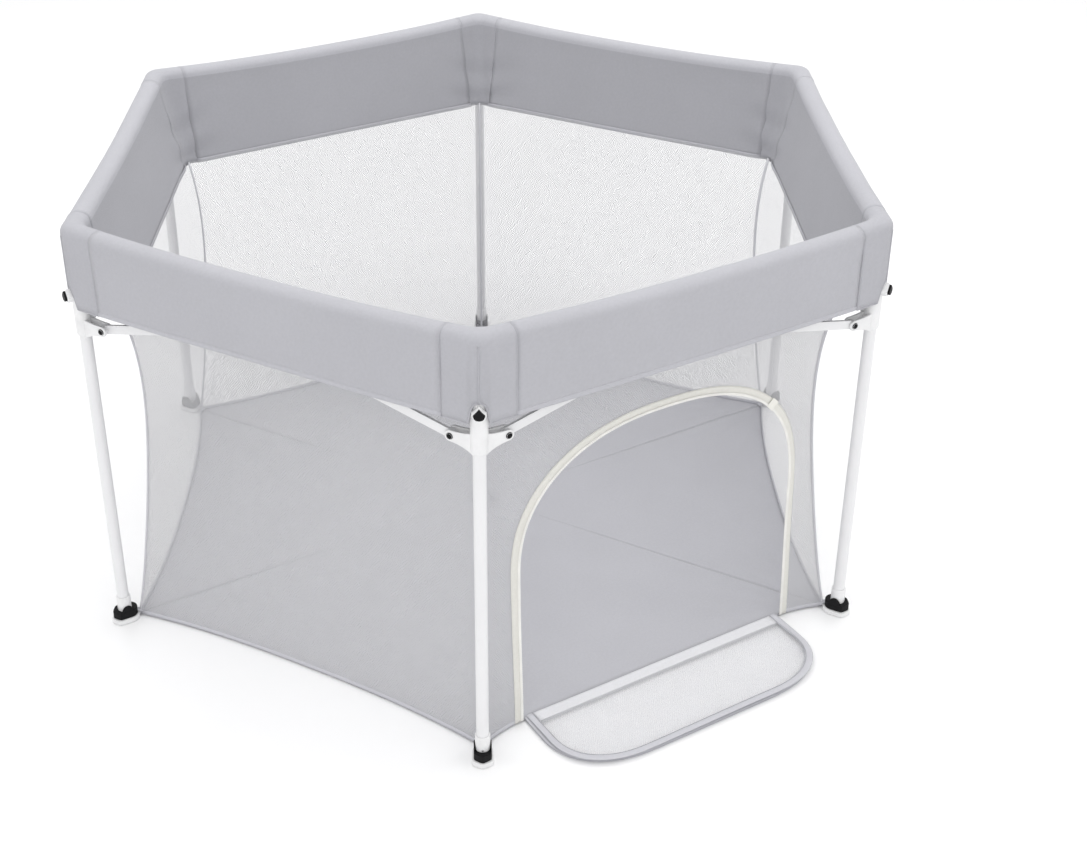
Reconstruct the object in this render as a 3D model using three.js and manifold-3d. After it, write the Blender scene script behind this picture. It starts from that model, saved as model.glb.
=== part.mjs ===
// A hexagonal pop-up playpen. Six tube legs stand in a ring, a scissor linkage joins each pair of
// neighbours under a padded fabric rim, and mesh walls hang from the rim to a fabric floor. One side
// has an arched doorway, and its door flap lies folded on the ground outside.
//
// Millimetres, +Z up. The origin is the middle of the hexagon on the ground and the door faces -Y.
// Leg k stands at 240 + 60 (k - 1) degrees, and side k runs from leg k to leg k + 1.
// In a side's own frame the origin is midway between its two leg axes on the ground, x runs along
// the side towards leg k + 1, y points into the pen and z is up.
import * as THREE from "three";
import { mergeVertices } from "three/addons/utils/BufferGeometryUtils.js";
import Module from "manifold-3d";

const wasm = await Module();
wasm.setup();

const SIDES = 6;
const FLAP_LAYER_NAMES = ["lower", "middle", "upper"]; // the flap folds in three

// Overall sizes
const LEG_CIRCLE_R = 640; // pen's middle to each leg's axis
const RIM_TOP_Z = 672;

// Clearances
const SEAT_GAP = 0.4; // between pieces that seat in or rest on each other
const CLOTH_GAP = 0.4; // between neighbouring soft pieces
const PIN_CLEARANCE = 0.4; // pin to hole, on the radius
const SLIDE_CLEARANCE = 0.65; // leg tube to slider bore, on the radius
const EAR_SIDE_GAP = 0.4; // bar to each ear cheek

// Legs
const TUBE_R = 8.75;
const TUBE_WALL = 1.2;

// Feet
const SOLE_HEIGHT = 8;
const SOLE_MARGIN = 2.5; // the sole stands proud of the socket all round
const SOCKET_HEIGHT = 18;
const SOCKET_WALL = 3.35; // beside the tube's bore
const SOCKET_END_WALL = 9.85; // before and behind the tube's bore
const SOCKET_BOW = 8; // length of the pointed part
const SOCKET_WEB = 3; // material left under the tube

// Scissor linkage
const PIVOT_OFFSET = 38; // leg axis to each ear pivot, along the side
const TOP_PIVOT_DROP = 22; // rim top to the top hub's pivots
const SCISSOR_HEIGHT = 132; // top pivots to slider pivots, with the pen open
const BAR_WIDTH = 13;
const BAR_THICKNESS = 4;
const BAR_GAP = 0.4; // between the two bars of a side
const PIN_R = 3;
const CHEEK_THICKNESS = 3.4;
const RIVET_HEAD_R = 4.2;
const RIVET_HEAD_HEIGHT = 1.2;

// Hubs and sliders
const HUB_WALL = 2.2;
const EAR_R = 8;
const TOP_HUB_ABOVE = 11; // hub body above its pivots
const TOP_HUB_BELOW = 22; // hub body below its pivots
const TOP_HUB_CAP = 6; // solid cap over the tube
const SLIDER_ABOVE = 66; // slider body above its pivots
const SLIDER_BELOW = 15; // slider body below its pivots
const EAR_ROOT_ABOVE = 12; // slider ears at the body, above the pivots

// Lock buttons
const BUTTON_RISE = 49; // slider pivots to the button's middle
const BUTTON_WIDTH = 14;
const BUTTON_HEIGHT = 15;
const BUTTON_PROUD = 3; // stands out of its boss, and is its travel
const BUTTON_BACK_GAP = 0.8; // behind the button when it is pressed
const BOSS_MARGIN = 2.4; // boss around the button
const BOSS_PROUD = 8.4; // boss face beyond the slider's body

// Rim cover
const CLOTH = 3; // thickness of each soft solid
const RIM_LINING_GAP = 1.4; // cover's inside to the hubs and sliders
const RIM_EDGE = 4; // bevel along the top edges
const RIM_OUTER_DROP = 120; // rim top to the outer hem
const RIM_INNER_DROP = 164; // rim top to the inner hem
const RIM_INNER_HEM_SHIFT = 1; // the inner hem hangs this far inside the middle of the mesh walls
const NOTCH_HALF_WIDTH = 22;
const NOTCH_RISE = 40; // outer hem to the top of each notch

// Walls and floor
const WALL_Y = 46; // middle of the mesh walls, inside the leg line
const FLOOR_OVERHANG = 6.6; // floor's edge beyond the middle of the mesh walls
const CENTRE_PATCH_APOTHEM = 12; // six-sided patch that the first gore carries over the floor's middle

// Door
const DOOR_SIDE_MARGIN = 86; // leg axis to the opening, along the side
const DOOR_HEAD = 57; // opening's top to the top of the mesh
const DOOR_ARCH_RISE = 203; // where the straight sides turn into the arch, below the top
const ARCH_FULLNESS = 2.4; // 2 is an ellipse, and more is squarer
const ZIP_WIDTH = 13;
const ZIP_THICKNESS = 2.6;
const FLAP_THICKNESS = 2;
const FLAP_STACK_GAP = 0.5; // between the folded layers
const FLAP_EDGE_GAP = 4; // flap edge to the door opening
const FLAP_GROUND_GAP = 0.2;
const FLAP_CORNER_R = 55; // corners at the outer fold
const PULL_WIDTH = 8;
const PULL_LENGTH = 22;
const PULL_THICKNESS = 2;
const PULL_START_Z = 18;

// Facets
const TUBE_SEGMENTS = 16;
const PIN_SEGMENTS = 8;
const ROUND_END_SEGMENTS = 3;
const ARCH_STEPS = 14;
const FLAP_CORNER_STEPS = 5;

// Sizes that follow from the ones above
const STEP = (2 * Math.PI) / SIDES;
const HALF_SIDE = LEG_CIRCLE_R * Math.sin(STEP / 2);
const APOTHEM = LEG_CIRCLE_R * Math.cos(STEP / 2);
const MITRE = Math.tan(STEP / 2);
const TOP_PIVOT_Z = RIM_TOP_Z - TOP_PIVOT_DROP;
const SLIDER_PIVOT_Z = TOP_PIVOT_Z - SCISSOR_HEIGHT;
const BUTTON_Z = SLIDER_PIVOT_Z + BUTTON_RISE;
const TUBE_BOTTOM_Z = SOLE_HEIGHT + SOCKET_WEB;
const TUBE_TOP_Z = TOP_PIVOT_Z + TOP_HUB_ABOVE - TOP_HUB_CAP - SEAT_GAP;
const BODY_R = TUBE_R + SLIDE_CLEARANCE + HUB_WALL;
const SOCKET_WIDTH = 2 * (TUBE_R + SEAT_GAP + SOCKET_WALL);
const SOCKET_REACH = TUBE_R + SEAT_GAP + SOCKET_END_WALL;
const BOSS_REACH = BODY_R + BOSS_PROUD;
const SLOT_HALF = BAR_THICKNESS + BAR_GAP / 2;
const CHEEK_INNER = SLOT_HALF + EAR_SIDE_GAP;
const CHEEK_OUTER = CHEEK_INNER + CHEEK_THICKNESS;
const BAR_SPAN = 2 * (HALF_SIDE - PIVOT_OFFSET);
const BAR_LENGTH = Math.hypot(BAR_SPAN, SCISSOR_HEIGHT);
const BAR_ANGLE = Math.atan2(SCISSOR_HEIGHT, BAR_SPAN);
const BUTTON_BACK = TUBE_R + BUTTON_BACK_GAP + BUTTON_PROUD;
const RIM_HALF_WIDTH = BODY_R + RIM_LINING_GAP + CLOTH;
const RIM_OUTER_HEM_Z = RIM_TOP_Z - RIM_OUTER_DROP;
const RIM_INNER_HEM_Z = RIM_TOP_Z - RIM_INNER_DROP;
const RIM_INNER_HEM_Y = WALL_Y + RIM_INNER_HEM_SHIFT;
const NOTCH_TOP_Z = RIM_OUTER_HEM_Z + NOTCH_RISE;
const FLOOR_Y = WALL_Y - FLOOR_OVERHANG;
const WALL_OUTER_Y = WALL_Y - CLOTH / 2;
const WALL_INNER_Y = WALL_Y + CLOTH / 2;
const WALL_BOTTOM_Z = CLOTH + CLOTH_GAP;
const WALL_TOP_Z = RIM_INNER_HEM_Z - CLOTH;
const DOOR_HALF_WIDTH = HALF_SIDE - DOOR_SIDE_MARGIN;
const DOOR_TOP_Z = WALL_TOP_Z - DOOR_HEAD;
const DOOR_SPRING_Z = DOOR_TOP_Z - DOOR_ARCH_RISE;
const ZIP_OUTER_Y = WALL_OUTER_Y - CLOTH_GAP - ZIP_THICKNESS;
const FLAP_HINGE_Z = FLAP_GROUND_GAP + FLAP_THICKNESS / 2;
const FLAP_HINGE_Y = FLOOR_Y - CLOTH_GAP - FLAP_THICKNESS / 2;
const FLAP_HEIGHT = DOOR_TOP_Z - FLAP_EDGE_GAP - FLAP_HINGE_Z;
const FLAP_LAYER_DEPTH = FLAP_HEIGHT / FLAP_LAYER_NAMES.length;
const FLAP_PITCH = FLAP_THICKNESS + FLAP_STACK_GAP;

// Materials
const finish = (color, roughness, metalness = 0) =>
  new THREE.MeshStandardMaterial({ color, roughness, metalness });
const WHITE_POWDER_COAT = finish(0xf2f2f4, 0.35, 0.1);
const WHITE_PLASTIC = finish(0xf4f4f5, 0.4);
const BLACK_PLASTIC = finish(0x161617, 0.45);
const GREY_FABRIC = finish(0xbcbcc1, 0.85);
const PALE_MESH = finish(0xe6e6e9, 0.8);
const FLOOR_FABRIC = finish(0xc2c2c7, 0.8);
const ZIP_TAPE = finish(0xe2e1db, 0.6);

// ---- solids ----

// A closed geometry as a manifold-3d solid.
function solid(geometry) {
  const bare = geometry.index ? geometry.toNonIndexed() : geometry.clone();
  bare.deleteAttribute("normal");
  bare.deleteAttribute("uv");
  const merged = mergeVertices(bare, 1e-4);
  const vertProperties = merged.attributes.position.array;
  const triVerts = new Uint32Array(merged.index.array);
  return new wasm.Manifold(new wasm.Mesh({ numProp: 3, vertProperties, triVerts }));
}

// A manifold-3d solid back as a geometry.
function geometryOf(made) {
  const { numProp, numVert, vertProperties, triVerts } = made.getMesh();
  const positions = new Float32Array(3 * numVert);
  for (let i = 0; i < numVert; i++) {
    positions.set(vertProperties.subarray(i * numProp, i * numProp + 3), 3 * i);
  }
  const geometry = new THREE.BufferGeometry();
  geometry.setAttribute("position", new THREE.BufferAttribute(positions, 3));
  geometry.setIndex(new THREE.BufferAttribute(triVerts, 1));
  return geometry;
}

const join = (...pieces) => pieces.map(solid).reduce((sum, piece) => sum.add(piece));
const cut = (from, ...tools) => tools.map(solid).reduce((rest, tool) => rest.subtract(tool), from);

function shapeOf(points) {
  return new THREE.Shape(points.map(([x, y]) => new THREE.Vector2(x, y)));
}

const extrude = (shape, depth) =>
  new THREE.ExtrudeGeometry(shape, { depth, bevelEnabled: false, curveSegments: ROUND_END_SEGMENTS });

// A plan outline (x, y) raised from one height to another.
const upright = (shape, fromZ, toZ) => extrude(shape, toZ - fromZ).translate(0, 0, fromZ);

// An elevation outline (x, z) given thickness from one y to another.
const plate = (shape, fromY, toY) =>
  extrude(shape, toY - fromY).rotateX(Math.PI / 2).translate(0, toY, 0);

// An elevation outline (y, z) given thickness from one x to another.
const radialPlate = (shape, fromX, toX) =>
  extrude(shape, toX - fromX).rotateX(Math.PI / 2).rotateZ(Math.PI / 2).translate(fromX, 0, 0);

// A round bar about the z axis.
const post = (radius, fromZ, toZ, segments = TUBE_SEGMENTS) =>
  new THREE.CylinderGeometry(radius, radius, toZ - fromZ, segments)
    .rotateX(Math.PI / 2)
    .translate(0, 0, (fromZ + toZ) / 2);

// A round bar along y.
const crossPin = (radius, fromY, toY, x, z) =>
  new THREE.CylinderGeometry(radius, radius, toY - fromY, PIN_SEGMENTS)
    .translate(x, (fromY + toY) / 2, z);

// ---- leg hardware, about a leg axis with x pointing out of the pen ----

function legTube() {
  const profile = [
    [TUBE_R - TUBE_WALL, TUBE_BOTTOM_Z],
    [TUBE_R, TUBE_BOTTOM_Z],
    [TUBE_R, TUBE_TOP_Z],
    [TUBE_R - TUBE_WALL, TUBE_TOP_Z],
    [TUBE_R - TUBE_WALL, TUBE_BOTTOM_Z],
  ].map(([r, z]) => new THREE.Vector2(r, z));
  return new THREE.LatheGeometry(profile, TUBE_SEGMENTS).rotateX(Math.PI / 2);
}

// The plan of a foot: a round inner end and a pointed outer end.
function footPlan(margin) {
  const half = SOCKET_WIDTH / 2 + margin;
  const inner = -SOCKET_REACH - margin;
  const tip = SOCKET_REACH + margin;
  const plan = new THREE.Shape();
  plan.moveTo(tip, 0);
  plan.lineTo(tip - SOCKET_BOW, half);
  plan.lineTo(inner + half, half);
  plan.absarc(inner + half, 0, half, Math.PI / 2, (3 * Math.PI) / 2, false);
  plan.lineTo(tip - SOCKET_BOW, -half);
  return plan;
}

function foot() {
  const sole = upright(footPlan(SOLE_MARGIN), 0, SOLE_HEIGHT);
  const socket = upright(footPlan(0), SOLE_HEIGHT / 2, SOLE_HEIGHT + SOCKET_HEIGHT);
  const bore = post(TUBE_R + SEAT_GAP, TUBE_BOTTOM_Z - SEAT_GAP, SOLE_HEIGHT + SOCKET_HEIGHT + 1);
  return geometryOf(cut(join(sole, socket), bore));
}

// One cheek of an ear: it tapers from the hub's body to a round end about the pivot.
function cheekOutline(pivotZ, rootLow, rootHigh) {
  const outline = new THREE.Shape();
  outline.moveTo(0, pivotZ + rootLow);
  outline.lineTo(PIVOT_OFFSET, pivotZ - EAR_R);
  outline.absarc(PIVOT_OFFSET, pivotZ, EAR_R, -Math.PI / 2, Math.PI / 2, false);
  outline.lineTo(0, pivotZ + rootHigh);
  return outline;
}

// The directions from a leg to its two neighbours, with x pointing out of the pen.
const EAR_ANGLES = [1, -1].map((way) => way * (Math.PI - (Math.PI - STEP) / 2));

// Both ears of a hub or slider, and the pin holes through them.
function ears(pivotZ, rootLow, rootHigh) {
  const outline = cheekOutline(pivotZ, rootLow, rootHigh);
  const cheeks = [];
  const holes = [];
  for (const angle of EAR_ANGLES) {
    for (const fromY of [CHEEK_INNER, -CHEEK_OUTER]) {
      cheeks.push(plate(outline, fromY, fromY + CHEEK_THICKNESS).rotateZ(angle));
    }
    const hole = crossPin(PIN_R + PIN_CLEARANCE, -CHEEK_OUTER - 1, CHEEK_OUTER + 1, PIVOT_OFFSET, pivotZ);
    holes.push(hole.rotateZ(angle));
  }
  return { cheeks, holes };
}

function topHub() {
  const bottom = TOP_PIVOT_Z - TOP_HUB_BELOW;
  const top = TOP_PIVOT_Z + TOP_HUB_ABOVE;
  const { cheeks, holes } = ears(TOP_PIVOT_Z, -TOP_HUB_BELOW, TOP_HUB_ABOVE);
  const bore = post(TUBE_R + SEAT_GAP, bottom - 1, top - TOP_HUB_CAP);
  const body = join(post(BODY_R, bottom, top), ...cheeks);
  return geometryOf(cut(body, bore, ...holes));
}

// The pointed outline of a lock button: a low round bottom and a peak.
function buttonOutline(grow) {
  const half = BUTTON_WIDTH / 2 + grow;
  const low = BUTTON_Z - BUTTON_HEIGHT / 2 - grow;
  const high = BUTTON_Z + BUTTON_HEIGHT / 2 + grow;
  const outline = new THREE.Shape();
  outline.moveTo(0, low);
  outline.quadraticCurveTo(half, low, half, low + half);
  outline.lineTo(0, high);
  outline.lineTo(-half, low + half);
  outline.quadraticCurveTo(-half, low, 0, low);
  return outline;
}

function slider() {
  const bottom = SLIDER_PIVOT_Z - SLIDER_BELOW;
  const top = SLIDER_PIVOT_Z + SLIDER_ABOVE;
  const { cheeks, holes } = ears(SLIDER_PIVOT_Z, -SLIDER_BELOW, EAR_ROOT_ABOVE);
  const boss = radialPlate(buttonOutline(BOSS_MARGIN), 0, BOSS_REACH);
  const bore = post(TUBE_R + SLIDE_CLEARANCE, bottom - 1, top + 1);
  const pocket = radialPlate(buttonOutline(SEAT_GAP), 0, BOSS_REACH + 1);
  const body = join(post(BODY_R, bottom, top), boss, ...cheeks);
  return geometryOf(cut(body, bore, pocket, ...holes));
}

const lockButton = () => radialPlate(buttonOutline(0), BUTTON_BACK, BOSS_REACH + BUTTON_PROUD);

// ---- scissor bars, in a side's own frame ----

// A bar lying along x with its middle at the origin, between two y values.
function barBlank(fromY, toY) {
  const half = BAR_LENGTH / 2;
  const r = BAR_WIDTH / 2;
  const outline = new THREE.Shape();
  outline.moveTo(-half, -r);
  outline.absarc(half, 0, r, -Math.PI / 2, Math.PI / 2, false);
  outline.absarc(-half, 0, r, Math.PI / 2, (3 * Math.PI) / 2, false);
  return plate(outline, fromY, toY);
}

// A bar's end: a spacer that fills the ear's slot, and a pin through both cheeks with riveted heads.
function barEnd(x) {
  const headFrom = CHEEK_OUTER + EAR_SIDE_GAP;
  const headTo = headFrom + RIVET_HEAD_HEIGHT;
  return [
    crossPin(BAR_WIDTH / 2 - 0.5, -SLOT_HALF, SLOT_HALF, x, 0),
    crossPin(PIN_R, -headTo, headTo, x, 0),
    crossPin(RIVET_HEAD_R, headFrom, headTo, x, 0),
    crossPin(RIVET_HEAD_R, -headTo, -headFrom, x, 0),
  ];
}

// The outer bar carries the middle pin, whose head holds the inner bar on.
function outerBar() {
  const headFrom = SLOT_HALF + EAR_SIDE_GAP;
  const middlePin = crossPin(PIN_R, -BAR_GAP, headFrom + RIVET_HEAD_HEIGHT, 0, 0);
  const middleHead = crossPin(RIVET_HEAD_R, headFrom, headFrom + RIVET_HEAD_HEIGHT, 0, 0);
  const blank = barBlank(-SLOT_HALF, -BAR_GAP / 2);
  const ends = [-1, 1].flatMap((end) => barEnd((end * BAR_LENGTH) / 2));
  return geometryOf(join(blank, middlePin, middleHead, ...ends));
}

function innerBar() {
  const blank = barBlank(BAR_GAP / 2, SLOT_HALF);
  const ends = [-1, 1].flatMap((end) => barEnd((end * BAR_LENGTH) / 2));
  const hole = crossPin(PIN_R + PIN_CLEARANCE, -1, SLOT_HALF + 1, 0, 0);
  return geometryOf(cut(join(blank, ...ends), hole));
}

// ---- soft pieces ----

// The six-sided rim cover: an upside-down U of cloth over the linkage, notched at each leg.
function rimCover() {
  const edge = RIM_EDGE;
  const lining = RIM_EDGE - CLOTH * (2 - Math.SQRT2);
  const w = RIM_HALF_WIDTH;
  const profile = [
    [-w, RIM_OUTER_HEM_Z],
    [-w, RIM_TOP_Z - edge],
    [-w + edge, RIM_TOP_Z],
    [w - edge, RIM_TOP_Z],
    [w, RIM_TOP_Z - edge],
    [RIM_INNER_HEM_Y, RIM_INNER_HEM_Z],
    [RIM_INNER_HEM_Y - CLOTH, RIM_INNER_HEM_Z],
    [w - CLOTH, RIM_TOP_Z - CLOTH - lining],
    [w - CLOTH - lining, RIM_TOP_Z - CLOTH],
    [-w + CLOTH + lining, RIM_TOP_Z - CLOTH],
    [-w + CLOTH, RIM_TOP_Z - CLOTH - lining],
    [-w + CLOTH, RIM_OUTER_HEM_Z],
    [-w, RIM_OUTER_HEM_Z],
  ].map(([y, z]) => new THREE.Vector2((APOTHEM - y) / Math.cos(STEP / 2), z));
  const ring = new THREE.LatheGeometry(profile, SIDES, STEP / 2).rotateX(Math.PI / 2);
  return geometryOf(cut(solid(ring), ...rimNotches()));
}

// The notches in the outer layer that each slider shows through.
function rimNotches() {
  const below = RIM_OUTER_HEM_Z - CLOTH;
  const slope = NOTCH_HALF_WIDTH / (NOTCH_TOP_Z - RIM_OUTER_HEM_Z);
  const half = slope * (NOTCH_TOP_Z - below);
  const outline = shapeOf([
    [-half, below],
    [half, below],
    [0, NOTCH_TOP_Z],
  ]);
  const notch = radialPlate(outline, LEG_CIRCLE_R, LEG_CIRCLE_R + 2 * RIM_HALF_WIDTH);
  return legAngles().map((angle) => notch.clone().rotateZ(angle));
}

// The plan of a strip along a side, mitred to its neighbours with half a gap at each end.
function mitredPlan(fromY, toY) {
  const reach = (y) => HALF_SIDE - y * MITRE - CLOTH_GAP / 2 / Math.cos(STEP / 2);
  return shapeOf([
    [-reach(fromY), fromY],
    [reach(fromY), fromY],
    [reach(toY), toY],
    [-reach(toY), toY],
  ]);
}

const meshPanel = () => upright(mitredPlan(WALL_OUTER_Y, WALL_INNER_Y), WALL_BOTTOM_Z, WALL_TOP_Z);

// The right half of an arch from one height to another: straight up to the spring line, then round.
function archEdge(halfWidth, springZ, topZ, fromZ, toZ) {
  const rise = (z) => Math.min(1, Math.max(0, (z - springZ) / (topZ - springZ)));
  const halfWidthAt = (z) => halfWidth * (1 - rise(z) ** ARCH_FULLNESS) ** (1 / ARCH_FULLNESS);
  const points = [[halfWidthAt(fromZ), fromZ]];
  for (let i = 0; i < ARCH_STEPS; i++) {
    const turn = (i / ARCH_STEPS) * (Math.PI / 2);
    const z = springZ + (topZ - springZ) * Math.sin(turn) ** (2 / ARCH_FULLNESS);
    if (z > fromZ + 1 && z < toZ - 1) points.push([halfWidthAt(z), z]);
  }
  points.push([halfWidthAt(toZ), toZ]);
  return points;
}

// A closed arch outline from its right edge.
const mirrored = (edge) => [...edge, ...edge.map(([x, z]) => [-x, z]).reverse()];

function doorOpening(grow, fromZ) {
  const top = DOOR_TOP_Z + grow;
  return shapeOf(mirrored(archEdge(DOOR_HALF_WIDTH + grow, DOOR_SPRING_Z, top, fromZ, top)));
}

function doorPanel() {
  const opening = plate(doorOpening(0, WALL_BOTTOM_Z - 1), WALL_OUTER_Y - 1, WALL_INNER_Y + 1);
  return geometryOf(cut(solid(meshPanel()), opening));
}

function zipperTrack() {
  const inner = archEdge(DOOR_HALF_WIDTH, DOOR_SPRING_Z, DOOR_TOP_Z, WALL_BOTTOM_Z, DOOR_TOP_Z);
  const outerTop = DOOR_TOP_Z + ZIP_WIDTH;
  const outer = archEdge(DOOR_HALF_WIDTH + ZIP_WIDTH, DOOR_SPRING_Z, outerTop, WALL_BOTTOM_Z, outerTop);
  const left = (points) => points.map(([x, z]) => [-x, z]);
  const around = [...outer, ...left(outer).reverse().slice(1)];
  const back = [...left(inner), ...inner.reverse().slice(1)];
  const band = shapeOf([...around, ...back]);
  return plate(band, ZIP_OUTER_Y, ZIP_OUTER_Y + ZIP_THICKNESS);
}

function zipperPull() {
  const x = -DOOR_HALF_WIDTH - ZIP_WIDTH / 2;
  const toY = ZIP_OUTER_Y - SEAT_GAP;
  const outline = new THREE.Shape();
  outline.moveTo(x - PULL_WIDTH / 2, PULL_START_Z);
  outline.lineTo(x + PULL_WIDTH / 2, PULL_START_Z);
  outline.lineTo(x + PULL_WIDTH / 3, PULL_START_Z + PULL_LENGTH);
  outline.lineTo(x - PULL_WIDTH / 3, PULL_START_Z + PULL_LENGTH);
  return plate(outline, toY - PULL_THICKNESS, toY);
}

// The rounded right corner of a flap layer at the outer fold, from its side to the fold.
function foldCorner(halfWidth, fold, way) {
  const r = FLAP_CORNER_R;
  return Array.from({ length: FLAP_CORNER_STEPS + 1 }, (_, i) => {
    const turn = (i / FLAP_CORNER_STEPS) * (Math.PI / 2);
    return [halfWidth - r * (1 - Math.cos(turn)), fold + way * r * (1 - Math.sin(turn))];
  });
}

// One layer of the folded door flap: the door's outline between two heights, laid flat. The first two
// layers meet in the outer fold, and the last one ends in the arch.
function flapLayer(layer) {
  const from = layer * FLAP_LAYER_DEPTH + CLOTH_GAP / 2;
  const to = (layer + 1) * FLAP_LAYER_DEPTH - CLOTH_GAP / 2;
  const halfWidth = DOOR_HALF_WIDTH - FLAP_EDGE_GAP;
  const start = layer === 1 ? from + FLAP_CORNER_R + 1 : from;
  const end = layer === 0 ? to - FLAP_CORNER_R - 1 : to;
  const edge = archEdge(halfWidth, DOOR_SPRING_Z - FLAP_HINGE_Z, FLAP_HEIGHT, start, end);
  if (layer === 0) edge.push(...foldCorner(halfWidth, to, -1));
  if (layer === 1) edge.unshift(...foldCorner(halfWidth, from, 1).reverse());
  const foldedBack = layer % 2 === 1;
  const folds = layer + (foldedBack ? 1 : 0);
  const yAt = (h) => FLAP_HINGE_Y + (foldedBack ? h - folds * FLAP_LAYER_DEPTH : folds * FLAP_LAYER_DEPTH - h);
  const bottom = FLAP_GROUND_GAP + layer * FLAP_PITCH;
  const outline = shapeOf(mirrored(edge).map(([x, h]) => [x, yAt(h)]));
  return upright(outline, bottom, bottom + FLAP_THICKNESS);
}

// A triangular floor gore. The first one carries the patch at the middle, and the others stop short of it.
function floorGore(carriesPatch) {
  const patchEdgeY = APOTHEM - CENTRE_PATCH_APOTHEM;
  if (!carriesPatch) return upright(mitredPlan(FLOOR_Y, patchEdgeY - CLOTH_GAP), 0, CLOTH);
  const gore = upright(mitredPlan(FLOOR_Y, patchEdgeY + CENTRE_PATCH_APOTHEM / 2), 0, CLOTH);
  const patchR = CENTRE_PATCH_APOTHEM / Math.cos(STEP / 2);
  const patch = post(patchR, 0, CLOTH, SIDES).rotateZ(STEP / 2).translate(0, APOTHEM, 0);
  return geometryOf(join(gore, patch));
}

// ---- assembly ----

function legAngles() {
  const first = -Math.PI / 2 - STEP / 2;
  return Array.from({ length: SIDES }, (_, k) => first + k * STEP);
}

function addMesh(parent, name, geometry, material) {
  const mesh = new THREE.Mesh(geometry, material);
  mesh.name = name;
  parent.add(mesh);
  return mesh;
}

// A frame about each leg axis, x out of the pen, and one about the middle of each side, y into it.
function frameAt(root, angle, x, y) {
  const turned = new THREE.Group();
  turned.rotation.z = angle;
  const placed = new THREE.Group();
  placed.position.set(x, y, 0);
  turned.add(placed);
  root.add(turned);
  return placed;
}

function addLegs(root) {
  const pieces = [
    ["leg_tube", legTube(), WHITE_POWDER_COAT],
    ["top_hub", topHub(), WHITE_PLASTIC],
    ["slider", slider(), WHITE_PLASTIC],
    ["lock_button", lockButton(), BLACK_PLASTIC],
    ["foot", foot(), BLACK_PLASTIC],
  ];
  legAngles().forEach((angle, k) => {
    const frame = frameAt(root, angle, LEG_CIRCLE_R, 0);
    for (const [name, geometry, material] of pieces) addMesh(frame, `${name}_${k + 1}`, geometry, material);
  });
}

function addBar(frame, name, geometry, tilt) {
  const bar = addMesh(frame, name, geometry, WHITE_POWDER_COAT);
  bar.position.z = (TOP_PIVOT_Z + SLIDER_PIVOT_Z) / 2;
  bar.rotation.y = tilt;
}

function addSides(root) {
  const outer = outerBar();
  const inner = innerBar();
  for (let k = 0; k < SIDES; k++) {
    const frame = frameAt(root, k * STEP, 0, -APOTHEM);
    addBar(frame, `outer_bar_${k + 1}`, outer, BAR_ANGLE);
    addBar(frame, `inner_bar_${k + 1}`, inner, -BAR_ANGLE);
    addMesh(frame, `floor_gore_${k + 1}`, floorGore(k === 0), FLOOR_FABRIC);
    if (k === 0) addDoor(frame);
    else addMesh(frame, `mesh_panel_${k + 1}`, meshPanel(), PALE_MESH);
  }
}

function addDoor(frame) {
  addMesh(frame, "door_panel", doorPanel(), PALE_MESH);
  addMesh(frame, "zipper_track", zipperTrack(), ZIP_TAPE);
  addMesh(frame, "zipper_pull", zipperPull(), WHITE_PLASTIC);
  FLAP_LAYER_NAMES.forEach((name, layer) => {
    addMesh(frame, `door_flap_${name}`, flapLayer(layer), PALE_MESH);
  });
}

const playpen = new THREE.Group();
addLegs(playpen);
addSides(playpen);
addMesh(playpen, "rim_cover", rimCover(), GREY_FABRIC);

export default playpen;
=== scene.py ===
"""A hexagonal pop-up playpen: its cloth, net, zip and plastic fittings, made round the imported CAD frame."""
import math

import bmesh
import bpy
import numpy as np
from mathutils import Matrix, Vector


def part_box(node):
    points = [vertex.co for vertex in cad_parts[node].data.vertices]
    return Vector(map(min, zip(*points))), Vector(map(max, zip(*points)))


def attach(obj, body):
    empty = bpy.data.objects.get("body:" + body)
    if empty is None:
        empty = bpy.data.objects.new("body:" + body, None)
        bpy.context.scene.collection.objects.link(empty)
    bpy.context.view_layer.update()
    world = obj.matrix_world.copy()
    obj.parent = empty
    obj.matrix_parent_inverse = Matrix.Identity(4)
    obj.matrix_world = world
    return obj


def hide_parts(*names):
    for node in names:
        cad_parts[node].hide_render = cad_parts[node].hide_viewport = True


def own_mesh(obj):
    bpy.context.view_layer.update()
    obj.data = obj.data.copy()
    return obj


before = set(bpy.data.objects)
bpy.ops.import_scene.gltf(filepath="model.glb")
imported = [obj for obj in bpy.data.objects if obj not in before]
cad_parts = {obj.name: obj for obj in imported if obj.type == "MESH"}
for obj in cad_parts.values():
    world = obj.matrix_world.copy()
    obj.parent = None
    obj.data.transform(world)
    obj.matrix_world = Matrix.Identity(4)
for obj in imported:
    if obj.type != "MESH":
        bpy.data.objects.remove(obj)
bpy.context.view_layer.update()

# ---- the pen's own sizes, read from the frame ----

SIDES = 6
STEP = 2 * math.pi / SIDES
COS_HALF = math.cos(STEP / 2)
TAN_HALF = math.tan(STEP / 2)


def box_of(node):
    low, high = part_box(node)
    return np.array(low), np.array(high)


def middle_of(node):
    low, high = box_of(node)
    return (low + high) / 2


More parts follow.
